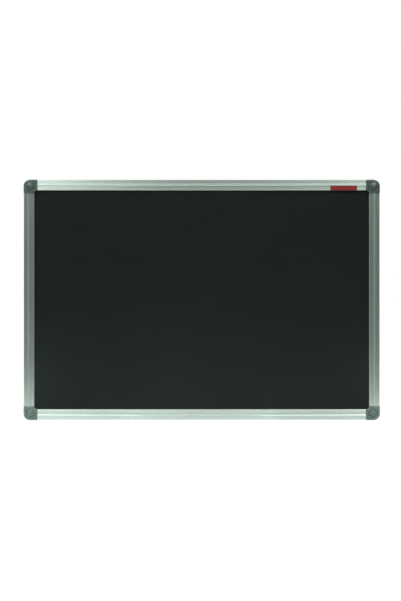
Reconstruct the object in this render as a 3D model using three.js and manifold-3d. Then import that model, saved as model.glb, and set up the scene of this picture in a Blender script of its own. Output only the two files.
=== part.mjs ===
// Wall chalkboard, 900 x 607 mm, in an aluminium frame with plastic corners. Millimetres, +Z up.
// The board faces -Y and +X is to the right. The origin is the centre of the wall plane.
//
// Everything is drawn as it is seen on the wall: x to the right, y up and z forward from the wall.
// One turned group at the end stands that drawing up. Reach is measured inwards from a rail's
// outer face, and depth is measured forwards from the wall.

import * as THREE from "three";
import { mergeVertices } from "three/addons/utils/BufferGeometryUtils.js";
import Module from "manifold-3d";

const wasm = await Module();
wasm.setup();

// Board, over the rails' outer faces
const BOARD_WIDTH = 900;
const BOARD_HEIGHT = 607;

// Clearances
const FIT_GAP = 0.3; // between pieces that plug together or rest on each other
const PANEL_EDGE_GAP = 0.6; // from the panel's edge to the floor of the rail's channel
const BORE_GAP = 0.3; // round a screw in its hole

// Panel, in layers from the front
const CHALK_SHEET_THICKNESS = 0.5;
const CORE_THICKNESS = 9.5;
const BACK_SHEET_THICKNESS = 0.4;
const PANEL_BOSS_GAP = 4.4; // from the panel's cut-off corner to the moulding's screw boss

// Rail section
const RAIL_WALL = 1.4;
const FACE_REACH = 26.3; // outer face to the lip's edge on the chalk sheet
const CHAMBER_REACH = 15; // outer face to the floor of the panel channel
const FLANGE_REACH = 22; // outer face to the edge of the rear flange
const FLANGE_SETBACK = 3; // wall to the rear flange
const BEAD_INSET = 0.3; // bead to the line of the channel's floor
const BEAD_WIDTH = 5.2;
const BEAD_RISE = 2; // above the flat outer band
const GROOVE_WIDTH = 4;
const GROOVE_SLOPE = 0.3; // how far the groove's inner side leans
const GROOVE_FALL = 1; // below the lip
const BAND_RISE = 0.2; // the outer band's height above the lip
const RAIL_EDGE_RADIUS = 1.5; // long front edge, at the outer face
const RAIL_BACK_RADIUS = 0.5;
const LIP_RADIUS = 0.8;

// Corner moulding
const LEG_PAST_LIP = 7.7; // how far each leg runs on past the lip's edge
const CORNER_PROUD = 0.8; // outside the rails' outer faces
const CORNER_INNER_PROUD = 0.6; // past the lip's edge
const CORNER_RADIUS = 16.5;
const CORNER_FILLET = 6.5; // inside corner, over the chalk sheet
const CORNER_END_RADIUS = 1.5;
const CORNER_FRONT_RISE = 0.6; // above the bead's crest
const CORNER_WALL = 2;
const CORNER_SKIN = 2.2; // front wall
const EDGE_WIDTH = 4; // how far the rounding of the front edge reaches in
const END_SHARE = 0.45; // of that width, at the two ends
const OUTER_FALL = 2.8; // height of the rounding on the outer sides
const END_FALL = 1; // on the ends, where the rail's bead meets them
const FILLET_FALL = 2; // on the inside corner
const RIB_THICKNESS = 1.6;
const RIB_SETBACK = 1; // wall to the ribs' rear edges

// Wall-screw hole in the corner moulding
const SCREW_INSET = 16.5; // outer faces to the hole's centre
const HOLE_DIAMETER = 6.5;
const HEAD_BORE_DIAMETER = 13;
const HEAD_SEAT_DEPTH = 9; // wall to the seat for the wall screw's head
const BOSS_WALL = 1.9; // round the bore for the screw's head
const PAD_WALL = 1.5; // round the cap's recess
const COLLAR_WIDTH = 2.2; // raised ring round the cap's recess
const COLLAR_RISE = 0.5;
const COLLAR_SLOPE = 1.4; // width of the ring's outer slope
const COLLAR_CHAMFER = 0.5; // inner edge of the ring
const PAD_THICKNESS = 2.2; // behind the floor of the cap's recess

// Cap
const CAP_DIAMETER = 20;
const CAP_GROOVE_WIDTH = 0.8; // open ring round the cap
const CAP_RECESS_FALL = 1.8; // below the moulding's front face
const CAP_RIM_HEIGHT = 0.5; // straight edge below the dome
const CAP_DOME_RISE = 2.2; // crest above the moulding's front face
const CAP_SHOULDER = 1.2; // rounding between rim and dome
const SKIRT_WALL = 1.2;
const SKIRT_CHAMFER = 0.5;
const HEAD_SPACE = 5; // left free for the wall screw's head under the skirt
const SLIT_WIDTH = 1.6;

// Tongues that plug the corner moulding into the rails
const TONGUE_LENGTH = 28;
const TONGUE_TAPER_LENGTH = 4;
const TONGUE_TAPER = 1.2;
const TONGUE_WALL = 1.8;
const TONGUE_FLOOR = 2;
const TONGUE_BOSS = 8; // solid length round the frame screw

// Frame screws, countersunk in the rail's rear wall
const FRAME_SCREW_INSET = 14; // rail's end to the screw
const FRAME_SCREW_LENGTH = 9.5;
const FRAME_SCREW_DIAMETER = 2.6;
const FRAME_HEAD_DIAMETER = 5;
const FRAME_POINT_LENGTH = 1.6;
const FRAME_HEAD_EDGE = 0.2; // cylindrical edge of the head

// Facets
const ARC_STEPS = 4; // of rail outlines, doubled on an arc
const CORNER_ARC_STEPS = 10;
const FILLET_STEPS = 7;
const END_ARC_STEPS = 3;
const ROUNDING_STEPS = 5;
const CAP_SIDES = 36;
const BORE_SIDES = 24;
const SCREW_SIDES = 14;
const DOME_STEPS = 4;
const SHOULDER_STEPS = 3;

// Sizes that follow from those above
const OVERSHOOT = 1; // how far a cutting body runs past the face it cuts
const MERGE_DISTANCE = 1e-4;
const QUARTER_TURN = Math.PI / 2;

const panelThickness = CHALK_SHEET_THICKNESS + CORE_THICKNESS + BACK_SHEET_THICKNESS;
const channelBack = FLANGE_SETBACK + RAIL_WALL;
const channelFront = channelBack + panelThickness + 2 * FIT_GAP;
const grooveDepth = channelFront + RAIL_WALL;
const lipDepth = grooveDepth + GROOVE_FALL;
const bandDepth = lipDepth + BAND_RISE;
const beadCrest = bandDepth + BEAD_RISE;
const cornerFront = beadCrest + CORNER_FRONT_RISE;
const cavityFront = cornerFront - CORNER_SKIN;
const recessFloor = cornerFront - CAP_RECESS_FALL;
const collarFront = cornerFront + COLLAR_RISE;
const panelReach = CHAMBER_REACH + PANEL_EDGE_GAP;
const beadStart = CHAMBER_REACH - BEAD_INSET - BEAD_WIDTH;
const cornerLeg = FACE_REACH + LEG_PAST_LIP;
const railEnd = cornerLeg + FIT_GAP;
const bossRadius = HEAD_BORE_DIAMETER / 2 + BOSS_WALL;
const capRecessRadius = CAP_DIAMETER / 2 + CAP_GROOVE_WIDTH;
const collarRadius = capRecessRadius + COLLAR_WIDTH;
const bossReach = Math.SQRT2 * (bossRadius + PANEL_BOSS_GAP);
const panelChamfer = 2 * (SCREW_INSET - panelReach) + bossReach;
const frameScrewReach = CHAMBER_REACH / 2;
const frameScrewPlace = railEnd + FRAME_SCREW_INSET;

const materials = {
  chalk: new THREE.MeshStandardMaterial({ color: 0x1e2221, roughness: 0.85, metalness: 0 }),
  core: new THREE.MeshStandardMaterial({ color: 0xa98f6a, roughness: 0.9, metalness: 0 }),
  galvanised: new THREE.MeshStandardMaterial({ color: 0x9aa0a2, roughness: 0.5, metalness: 0.9 }),
  aluminium: new THREE.MeshStandardMaterial({ color: 0xb4c0ba, roughness: 0.4, metalness: 0.9 }),
  plastic: new THREE.MeshStandardMaterial({ color: 0x5d6764, roughness: 0.5, metalness: 0 }),
  steel: new THREE.MeshStandardMaterial({ color: 0xb9bbbd, roughness: 0.35, metalness: 1 }),
};

// Turns a closed geometry into a solid that can be joined and cut.
function solidOf(geometry) {
  const bare = new THREE.BufferGeometry();
  bare.setAttribute("position", geometry.getAttribute("position"));
  bare.setIndex(geometry.getIndex());
  const merged = mergeVertices(bare, MERGE_DISTANCE);
  const corners = merged.getIndex().array;
  const triangles = [];
  for (let i = 0; i < corners.length; i += 3) {
    const [a, b, c] = [corners[i], corners[i + 1], corners[i + 2]];
    if (a !== b && b !== c && c !== a) triangles.push(a, b, c);
  }
  const vertProperties = new Float32Array(merged.getAttribute("position").array);
  const triVerts = new Uint32Array(triangles);
  return new wasm.Manifold(new wasm.Mesh({ numProp: 3, vertProperties, triVerts }));
}

// Turns a solid back into a geometry.
function geometryOf(solid) {
  const { vertProperties, triVerts } = solid.getMesh();
  const geometry = new THREE.BufferGeometry();
  geometry.setAttribute("position", new THREE.BufferAttribute(new Float32Array(vertProperties), 3));
  geometry.setIndex(new THREE.BufferAttribute(new Uint32Array(triVerts), 1));
  geometry.computeVertexNormals();
  return geometry;
}

function pieceOf(name, solid, material) {
  const mesh = new THREE.Mesh(geometryOf(solid), material);
  mesh.name = name;
  return mesh;
}

function joined(solids) {
  return solids.reduce((whole, next) => whole.add(next));
}

function cut(solid, tools) {
  return tools.reduce((rest, tool) => rest.subtract(tool), solid);
}

// A block between two corners, each given as x, y and z.
function block(low, high) {
  const size = high.map((value, i) => value - low[i]);
  const geometry = new THREE.BoxGeometry(...size);
  geometry.translate(...low.map((value, i) => value + size[i] / 2));
  return geometry;
}

// A straight extrusion of a shape between two depths.
function slab(shape, back, front) {
  const options = { depth: front - back, bevelEnabled: false, curveSegments: ARC_STEPS };
  return new THREE.ExtrudeGeometry(shape, options).translate(0, 0, back);
}

// A turned body about the z axis. The profile is a list of radius and depth, from back to front,
// and it starts and ends on the axis.
function turned(profile, sides) {
  const points = profile.map(([radius, depth]) => new THREE.Vector2(radius, depth));
  return new THREE.LatheGeometry(points, sides).rotateX(QUARTER_TURN);
}

// A plain cylinder along z.
function bore(radius, back, front, sides) {
  const profile = [[0, back], [radius, back], [radius, front], [0, front]];
  return turned(profile, sides);
}

// Points of an arc, with both of its ends.
function arcPoints(centreX, centreY, radius, from, to, steps) {
  const points = [];
  for (let i = 0; i <= steps; i += 1) {
    const angle = from + ((to - from) * i) / steps;
    const x = centreX + radius * Math.cos(angle);
    const y = centreY + radius * Math.sin(angle);
    points.push(new THREE.Vector2(x, y));
  }
  return points;
}

// Skins a list of rings into one closed body. Each ring is a list of points with as many points as
// the others, and the first and last rings are filled.
function skinned(rings) {
  const count = rings[0].length;
  const position = rings.flat().flatMap((point) => [point.x, point.y, point.z]);
  const index = [];
  for (let ring = 0; ring + 1 < rings.length; ring += 1) {
    for (let i = 0; i < count; i += 1) {
      const here = ring * count + i;
      const beside = ring * count + ((i + 1) % count);
      index.push(here, beside, beside + count);
      index.push(here, beside + count, here + count);
    }
  }
  const fill = (ring, first, turnedOver) => {
    const flat = ring.map((point) => new THREE.Vector2(point.x, point.y));
    for (const [a, b, c] of THREE.ShapeUtils.triangulateShape(flat, [])) {
      if (turnedOver) index.push(first + c, first + b, first + a);
      else index.push(first + a, first + b, first + c);
    }
  };
  fill(rings[0], 0, true);
  fill(rings[rings.length - 1], (rings.length - 1) * count, false);
  const geometry = new THREE.BufferGeometry();
  geometry.setAttribute("position", new THREE.Float32BufferAttribute(position, 3));
  geometry.setIndex(index);
  return geometry;
}

// Panel: three layers of one outline, a rectangle with its corners cut off.
function panelShape() {
  const halfWidth = BOARD_WIDTH / 2 - panelReach;
  const halfHeight = BOARD_HEIGHT / 2 - panelReach;
  const shape = new THREE.Shape();
  shape.moveTo(panelChamfer - halfWidth, -halfHeight);
  shape.lineTo(halfWidth - panelChamfer, -halfHeight);
  shape.lineTo(halfWidth, panelChamfer - halfHeight);
  shape.lineTo(halfWidth, halfHeight - panelChamfer);
  shape.lineTo(halfWidth - panelChamfer, halfHeight);
  shape.lineTo(panelChamfer - halfWidth, halfHeight);
  shape.lineTo(-halfWidth, halfHeight - panelChamfer);
  shape.lineTo(-halfWidth, panelChamfer - halfHeight);
  shape.closePath();
  return shape;
}

function panelPieces() {
  const layers = [
    ["back_sheet", BACK_SHEET_THICKNESS, materials.galvanised],
    ["core_board", CORE_THICKNESS, materials.core],
    ["chalk_sheet", CHALK_SHEET_THICKNESS, materials.chalk],
  ];
  let back = channelBack + FIT_GAP;
  return layers.map(([name, thickness, material]) => {
    const front = back + thickness;
    const layer = pieceOf(name, solidOf(slab(panelShape(), back, front)), material);
    back = front;
    return layer;
  });
}

// Rail section, with reach along x and depth along y.
const beadCentreReach = beadStart + BEAD_WIDTH / 2;
const beadRadius = (BEAD_WIDTH ** 2 / 4 + BEAD_RISE ** 2) / (2 * BEAD_RISE);
const beadCentreDepth = beadCrest - beadRadius;
const chamberFront = bandDepth - RAIL_WALL;
const chamberReach = CHAMBER_REACH - RAIL_WALL;

function railSection() {
  const grooveStart = beadStart + BEAD_WIDTH;
  const grooveEnd = grooveStart + GROOVE_WIDTH;
  const beadAngle = Math.asin((bandDepth - beadCentreDepth) / beadRadius);
  const edge = RAIL_EDGE_RADIUS;
  const back = RAIL_BACK_RADIUS;
  const lip = LIP_RADIUS;
  const shape = new THREE.Shape();
  shape.moveTo(back, 0);
  shape.lineTo(CHAMBER_REACH, 0);
  shape.lineTo(CHAMBER_REACH, FLANGE_SETBACK);
  shape.lineTo(FLANGE_REACH, FLANGE_SETBACK);
  shape.lineTo(FLANGE_REACH, channelBack);
  shape.lineTo(CHAMBER_REACH, channelBack);
  shape.lineTo(CHAMBER_REACH, channelFront);
  shape.lineTo(FACE_REACH, channelFront);
  shape.lineTo(FACE_REACH, lipDepth - lip);
  shape.absarc(FACE_REACH - lip, lipDepth - lip, lip, 0, QUARTER_TURN);
  shape.lineTo(grooveEnd + GROOVE_SLOPE, lipDepth);
  shape.lineTo(grooveEnd, grooveDepth);
  shape.lineTo(grooveStart, grooveDepth);
  shape.absarc(beadCentreReach, beadCentreDepth, beadRadius, beadAngle, Math.PI - beadAngle);
  shape.lineTo(edge, bandDepth);
  shape.absarc(edge, bandDepth - edge, edge, QUARTER_TURN, Math.PI);
  shape.lineTo(0, back);
  shape.absarc(back, back, back, Math.PI, Math.PI + QUARTER_TURN);
  shape.holes.push(railChamber());
  return shape;
}

// The hollow chamber keeps an even wall, also under the bead.
function railChamber() {
  const radius = beadRadius - RAIL_WALL;
  const fall = Math.asin((beadCentreDepth - chamberFront) / radius);
  const halfWidth = radius * Math.cos(fall);
  const chamber = new THREE.Path();
  chamber.moveTo(RAIL_WALL, RAIL_WALL);
  chamber.lineTo(chamberReach, RAIL_WALL);
  chamber.lineTo(chamberReach, chamberFront);
  chamber.lineTo(beadCentreReach + halfWidth, chamberFront);
  chamber.absarc(beadCentreReach, beadCentreDepth, radius, -fall, Math.PI + fall);
  chamber.lineTo(RAIL_WALL, chamberFront);
  chamber.closePath();
  return chamber;
}

// Countersunk screw or, with a gap all round, the hole for it. The head lies in the wall plane.
function frameScrewBody(gap, back, sides) {
  const shank = FRAME_SCREW_DIAMETER / 2 + gap;
  const head = FRAME_HEAD_DIAMETER / 2 + gap;
  const neck = FRAME_HEAD_EDGE + head - shank;
  const end = FRAME_SCREW_LENGTH + gap;
  const profile = [[0, back], [head, back], [head, FRAME_HEAD_EDGE], [shank, neck]];
  profile.push([shank, end - FRAME_POINT_LENGTH], [0, end]);
  return turned(profile, sides);
}

// A rail runs along x with its outer face up. Its screw holes are at its two ends.
function railSolid(boardLength) {
  const halfLength = boardLength / 2 - railEnd;
  const length = new THREE.ExtrudeGeometry(railSection(), {
    depth: 2 * halfLength,
    bevelEnabled: false,
    curveSegments: ARC_STEPS,
  });
  const standing = new THREE.Matrix4().makeBasis(
    new THREE.Vector3(0, -1, 0),
    new THREE.Vector3(0, 0, 1),
    new THREE.Vector3(-1, 0, 0),
  );
  length.applyMatrix4(standing).translate(halfLength, 0, 0);
  const holes = [-1, 1].map((side) => {
    const hole = frameScrewBody(BORE_GAP, -OVERSHOOT, SCREW_SIDES);
    const place = side * (boardLength / 2 - frameScrewPlace);
    return solidOf(hole.translate(place, -frameScrewReach, 0));
  });
  return cut(solidOf(length), holes);
}

// Outline of the corner moulding at the top left, moved in by inset. The two outer sides lie along
// x and y, and each point also holds how far the front edge falls away there.
function cornerRing(inset, depthAt) {
  const left = inset - CORNER_PROUD;
  const end = cornerLeg - END_SHARE * inset;
  const inner = FACE_REACH + CORNER_INNER_PROUD - inset;
  const radius = CORNER_RADIUS - inset;
  const endRadius = Math.max(CORNER_END_RADIUS - inset, MERGE_DISTANCE * 100);
  const filletCentre = FACE_REACH + CORNER_INNER_PROUD + CORNER_FILLET;
  const filletRadius = CORNER_FILLET + inset;
  const past = Math.asin(Math.max(0, filletCentre - end) / filletRadius);
  const innerAtEnd = past > 0 ? filletCentre - filletRadius * Math.cos(past) : inner;
  const place = (points, fallAt) =>
    points.map((point, i) => new THREE.Vector3(point.x, point.y, depthAt(fallAt(i))));
  const blend = (from, to) => (i) => from + ((to - from) * i) / END_ARC_STEPS;
  const downEnd = arcPoints(
    left + endRadius, endRadius - end, endRadius, Math.PI, Math.PI + QUARTER_TURN, END_ARC_STEPS,
  );
  const fillet = arcPoints(
    filletCentre, -filletCentre, filletRadius, Math.PI - past, QUARTER_TURN + past, FILLET_STEPS,
  );
  const acrossEnd = arcPoints(
    end - endRadius, -left - endRadius, endRadius, 0, QUARTER_TURN, END_ARC_STEPS,
  );
  const outer = arcPoints(
    left + radius, -left - radius, radius, QUARTER_TURN, Math.PI, CORNER_ARC_STEPS,
  );
  return [
    ...place(downEnd, blend(OUTER_FALL, END_FALL)),
    ...place([new THREE.Vector2(innerAtEnd, -end)], () => END_FALL),
    ...place(fillet, () => FILLET_FALL),
    ...place([new THREE.Vector2(end, -innerAtEnd)], () => END_FALL),
    ...place(acrossEnd, blend(END_FALL, OUTER_FALL)),
    ...place(outer, () => OUTER_FALL),
  ];
}

// Outside of the moulding: straight sides, then a front edge rounded as a quarter of an ellipse.
function cornerOutside() {
  const rings = [cornerRing(0, () => 0)];
  for (let i = 0; i <= ROUNDING_STEPS; i += 1) {
    const angle = (QUARTER_TURN * i) / ROUNDING_STEPS;
    const inset = EDGE_WIDTH * (1 - Math.cos(angle));
    rings.push(cornerRing(inset, (fall) => cornerFront - fall * (1 - Math.sin(angle))));
  }
  return solidOf(skinned(rings));
}

// The same piece on the moulding's other leg: both legs are alike about the diagonal.
function onBothLegs(geometry) {
  const other = geometry.clone().rotateZ(-QUARTER_TURN).translate(CHAMBER_REACH, 0, 0);
  return [solidOf(geometry), solidOf(other)];
}

// Tongue along x, open to the front in two pockets either side of the screw's boss.
function tongueSolids() {
  const near = RAIL_WALL + FIT_GAP;
  const far = chamberReach - FIT_GAP;
  const back = RAIL_WALL + FIT_GAP;
  const front = chamberFront - FIT_GAP;
  const root = cornerLeg - CORNER_WALL;
  const tip = cornerLeg + TONGUE_LENGTH;
  const shape = new THREE.Shape();
  shape.moveTo(root, -far);
  shape.lineTo(tip - TONGUE_TAPER_LENGTH, -far);
  shape.lineTo(tip, TONGUE_TAPER - far);
  shape.lineTo(tip, -near - TONGUE_TAPER);
  shape.lineTo(tip - TONGUE_TAPER_LENGTH, -near);
  shape.lineTo(root, -near);
  shape.closePath();
  return onBothLegs(slab(shape, back, front));
}

function tongueCuts() {
  const near = RAIL_WALL + FIT_GAP + TONGUE_WALL;
  const far = chamberReach - FIT_GAP - TONGUE_WALL;
  const floor = RAIL_WALL + FIT_GAP + TONGUE_FLOOR;
  const front = chamberFront + OVERSHOOT;
  const pockets = [
    [cornerLeg + TONGUE_WALL, frameScrewPlace - TONGUE_BOSS / 2],
    [frameScrewPlace + TONGUE_BOSS / 2, cornerLeg + TONGUE_LENGTH - TONGUE_WALL],
  ];
  const pocketCuts = pockets.flatMap(([from, to]) =>
    onBothLegs(block([from, -far, floor], [to, -near, front])),
  );
  const hole = frameScrewBody(BORE_GAP, -OVERSHOOT, SCREW_SIDES);
  return [...pocketCuts, ...onBothLegs(hole.translate(frameScrewPlace, -frameScrewReach, 0))];
}

// Ribs from the screw boss to the outer walls, one to each side and one into the round corner.
function ribSolids() {
  const half = RIB_THICKNESS / 2;
  const reach = SCREW_INSET + CORNER_PROUD - CORNER_WALL / 2;
  const rib = block([-reach, -half, RIB_SETBACK], [0, half, cavityFront]);
  const diagonalReach = (SCREW_INSET + CORNER_PROUD - CORNER_RADIUS) * Math.SQRT2 + CORNER_RADIUS;
  const diagonalEnd = CORNER_WALL / 2 - diagonalReach;
  const diagonal = block([diagonalEnd, -half, RIB_SETBACK], [0, half, cavityFront]);
  const ribs = [rib, rib.clone().rotateZ(-QUARTER_TURN), diagonal.rotateZ(-QUARTER_TURN / 2)];
  return ribs.map((geometry) => solidOf(geometry.translate(SCREW_INSET, -SCREW_INSET, 0)));
}

// Raised ring round the cap, sloping to the moulding's front, and the recess that is cut in it.
function collarBody(back) {
  const profile = [[0, back], [collarRadius, back], [collarRadius, cornerFront]];
  profile.push([collarRadius - COLLAR_SLOPE, collarFront], [0, collarFront]);
  return turned(profile, CAP_SIDES);
}

function capRecessBody() {
  const front = collarFront + OVERSHOOT;
  const mouth = capRecessRadius + COLLAR_CHAMFER + OVERSHOOT;
  const profile = [[0, recessFloor], [capRecessRadius, recessFloor]];
  profile.push([capRecessRadius, collarFront - COLLAR_CHAMFER], [mouth, front], [0, front]);
  return turned(profile, CAP_SIDES);
}

function cornerSolid() {
  const wallRing = cornerRing(CORNER_WALL, () => -OVERSHOOT);
  const cavity = skinned([wallRing, wallRing.map((p) => new THREE.Vector3(p.x, p.y, cavityFront))]);
  const past = cornerLeg + OVERSHOOT;
  const panelSpace = block(
    [CHAMBER_REACH, -past, -OVERSHOOT],
    [past, -CHAMBER_REACH, channelFront],
  );
  const shell = cut(cornerOutside(), [solidOf(cavity), solidOf(panelSpace)]);

  const legWall = block(
    [chamberReach, -CHAMBER_REACH, 0],
    [cornerLeg, -chamberReach, cavityFront + RAIL_WALL / 2],
  );
  const padRadius = capRecessRadius + PAD_WALL;
  const padBack = recessFloor - PAD_THICKNESS;
  const skinMiddle = (cavityFront + cornerFront) / 2;
  const atScrew = (geometry) => solidOf(geometry.translate(SCREW_INSET, -SCREW_INSET, 0));
  const round = (radius, back, front) => atScrew(bore(radius, back, front, BORE_SIDES));
  const body = joined([
    shell,
    ...onBothLegs(legWall),
    ...ribSolids(),
    ...tongueSolids(),
    round(bossRadius, 0, skinMiddle),
    round(padRadius, padBack, skinMiddle),
    atScrew(collarBody(skinMiddle)),
  ]);
  return cut(body, [
    round(HOLE_DIAMETER / 2, -OVERSHOOT, cornerFront),
    round(HEAD_BORE_DIAMETER / 2, HEAD_SEAT_DEPTH, cornerFront),
    atScrew(capRecessBody()),
    ...tongueCuts(),
  ]);
}

// Cap: a dome, part of a ball, on a short rim. Four slits split the skirt behind it into prongs.
function capSolid() {
  const radius = CAP_DIAMETER / 2;
  const back = recessFloor + FIT_GAP;
  const rimFront = back + CAP_RIM_HEIGHT;
  const crest = cornerFront + CAP_DOME_RISE;
  const skirtOuter = HEAD_BORE_DIAMETER / 2 - FIT_GAP;
  const skirtInner = skirtOuter - SKIRT_WALL;
  const skirtBack = HEAD_SEAT_DEPTH + HEAD_SPACE;
  const profile = [
    [0, back],
    [skirtInner, back],
    [skirtInner, skirtBack],
    [skirtOuter - SKIRT_CHAMFER, skirtBack],
    [skirtOuter, skirtBack + SKIRT_CHAMFER],
    [skirtOuter, back],
    [radius, back],
    [radius, rimFront],
  ];
  const shoulderFront = rimFront + CAP_SHOULDER / 2;
  for (let i = 1; i <= SHOULDER_STEPS; i += 1) {
    const angle = (QUARTER_TURN * i) / (SHOULDER_STEPS + 1);
    const inward = CAP_SHOULDER * (1 - Math.cos(angle));
    profile.push([radius - inward, rimFront + (shoulderFront - rimFront) * Math.sin(angle)]);
  }
  const [domeEdge, domeBack] = profile[profile.length - 1];
  const rise = crest - domeBack;
  const domeRadius = (domeEdge ** 2 + rise ** 2) / (2 * rise);
  const domeAngle = Math.asin(domeEdge / domeRadius);
  for (let i = DOME_STEPS - 1; i >= 0; i -= 1) {
    const angle = (domeAngle * i) / DOME_STEPS;
    profile.push([domeRadius * Math.sin(angle), crest - domeRadius * (1 - Math.cos(angle))]);
  }
  const half = SLIT_WIDTH / 2;
  const wide = radius + OVERSHOOT;
  const slit = block([-wide, -half, skirtBack - OVERSHOOT], [wide, half, back]);
  const slits = [solidOf(slit), solidOf(slit.clone().rotateZ(QUARTER_TURN))];
  return cut(solidOf(turned(profile, CAP_SIDES)), slits);
}

// The rail above is the top one. Each further side is a quarter turn on, clockwise from the front.
const sides = [
  { rail: "rail_top", corner: "top_left", along: BOARD_WIDTH, across: BOARD_HEIGHT },
  { rail: "rail_right", corner: "top_right", along: BOARD_HEIGHT, across: BOARD_WIDTH },
  { rail: "rail_bottom", corner: "bottom_right", along: BOARD_WIDTH, across: BOARD_HEIGHT },
  { rail: "rail_left", corner: "bottom_left", along: BOARD_HEIGHT, across: BOARD_WIDTH },
];

const board = new THREE.Group();
board.rotation.x = QUARTER_TURN;
board.add(...panelPieces());

const corner = cornerSolid();
const cap = capSolid();
const frameScrew = solidOf(frameScrewBody(0, 0, SCREW_SIDES));

sides.forEach((side, turn) => {
  const group = new THREE.Group();
  group.rotation.z = -QUARTER_TURN * turn;
  board.add(group);

  const rail = pieceOf(side.rail, railSolid(side.along), materials.aluminium);
  rail.position.y = side.across / 2;
  group.add(rail);

  // Left-hand end of this side, as seen with the side uppermost.
  const end = new THREE.Group();
  end.position.set(-side.along / 2, side.across / 2, 0);
  group.add(end);
  end.add(pieceOf(`corner_${side.corner}`, corner, materials.plastic));

  const cover = pieceOf(`cap_${side.corner}`, cap, materials.plastic);
  cover.position.set(SCREW_INSET, -SCREW_INSET, 0);
  end.add(cover);

  const screwPlaces = [
    ["a", frameScrewPlace, -frameScrewReach],
    ["b", frameScrewReach, -frameScrewPlace],
  ];
  for (const [letter, x, y] of screwPlaces) {
    const screw = pieceOf(`frame_screw_${side.corner}_${letter}`, frameScrew, materials.steel);
    screw.position.set(x, y, 0);
    end.add(screw);
  }
});

const chalkboard = new THREE.Group();
chalkboard.add(board);

export default chalkboard;
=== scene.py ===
import math

import bmesh
import bpy
from mathutils import Matrix, Vector


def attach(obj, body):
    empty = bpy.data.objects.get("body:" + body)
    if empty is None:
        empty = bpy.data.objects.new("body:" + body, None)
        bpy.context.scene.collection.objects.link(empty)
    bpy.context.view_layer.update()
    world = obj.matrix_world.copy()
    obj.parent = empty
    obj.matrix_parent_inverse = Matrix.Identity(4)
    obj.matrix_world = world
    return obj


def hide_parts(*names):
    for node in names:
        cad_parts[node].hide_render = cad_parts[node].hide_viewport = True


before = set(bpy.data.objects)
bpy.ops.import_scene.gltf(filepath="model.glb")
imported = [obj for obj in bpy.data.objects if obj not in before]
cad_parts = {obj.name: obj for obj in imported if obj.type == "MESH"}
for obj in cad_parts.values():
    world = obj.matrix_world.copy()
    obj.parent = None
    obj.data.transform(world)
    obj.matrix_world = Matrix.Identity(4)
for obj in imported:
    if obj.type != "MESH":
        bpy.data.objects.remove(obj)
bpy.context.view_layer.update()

# Wall chalkboard, 900 x 607 mm: the looks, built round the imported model.
#
# Shapes are drawn in millimetres as the board is seen on the wall: x to the right, y up and z
# forward from the wall. STAND turns that drawing into the frame's metres. Reach is measured inwards
# from a rail's outer face, and depth is measured forwards from the wall.

STAND = Matrix.Scale(0.001, 4) @ Matrix.Rotation(math.pi / 2, 4, "X")
QUARTER_TURN = math.pi / 2

BOARD_WIDTH = 900
BOARD_HEIGHT = 607
FIT_GAP = 0.3

# Rail section
RAIL_WALL = 1.4
CHAMBER_REACH = 15
FLANGE_REACH = 22
FLANGE_DEPTH = 3
FACE_REACH = 26.3
CHANNEL_FRONT = 15.4
GROOVE_DEPTH = 16.8
LIP_DEPTH = 17.8
BAND_DEPTH = 18
BEAD_START = 9.5
BEAD_END = 14.7
BEAD_CREST = 20
GROOVE_END = 18.7
GROOVE_SLOPE = 0.3
BEAD_STEPS = 28
RAIL_EDGE_ROUND = 0.3  # the long front edge at the outer face
LIP_ROUND = 1.2
BACK_ROUND = 0.5
FLANGE_ROUND = 0.4
GROOVE_ROUND = 0.2
NOOK_ROUND = 0.25
SMALL_ROUND = 0.3
BEAD_FOOT_ROUND = 0.08
RAIL_HOLE_SIDES = 48

# Corner moulding
CORNER_LEG = 34
CORNER_PROUD = 0.8
CORNER_INNER = 26.9
CORNER_RADIUS = 16.5
CORNER_FILLET = 6.5
CORNER_END_RADIUS = 1.5
CORNER_FRONT = 20.6
CORNER_WALL = 2
CAVITY_FRONT = 18.4
EDGE_WIDTH = 4  # width of the rounded front edge
END_SHARE = 0.45  # how much of that width the edge has at the leg's end
OUTER_FALL = 2.8  # how far the front edge falls back at the outer face
END_FALL = 1
FILLET_FALL = 2
EDGE_STEPS = 12
RIB_THICKNESS = 1.6
RIB_BACK = 1
RIB_SINK = 0.4  # how far a rib reaches into the front wall

# Wall-screw hole and cap
SCREW_INSET = 16.5
HOLE_RADIUS = 3.25
HEAD_BORE_RADIUS = 6.5
HEAD_SEAT = 9
BOSS_RADIUS = 8.4
RECESS_RADIUS = 10.8
RECESS_FLOOR = 18.8
PAD_RADIUS = 12.3
PAD_BACK = 16.6
PAD_SINK = 0.2
COLLAR_RADIUS = 13.0
COLLAR_FRONT = 21.1
COLLAR_SLOPE = 1.4
COLLAR_ROUND = 1.2
MOUTH_RADIUS = 0.5
CAP_RADIUS = 10
CAP_BACK = 19.1
CAP_RIM = 19.6
CAP_SHOULDER = 1.2
SHOULDER_TURN = 0.75  # share of a quarter turn that the shoulder bends through
CAP_CREST = 22.8
CAP_RIM_ROUND = 0.12
SKIRT_OUTER = 6.2
SKIRT_INNER = 5
SKIRT_BACK = 14
SKIRT_CHAMFER = 0.5
SKIRT_ROOT_ROUND = 0.3
SLIT_WIDTH = 1.6
SLIT_STOP = 0.05  # left uncut at the skirt's root

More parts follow.
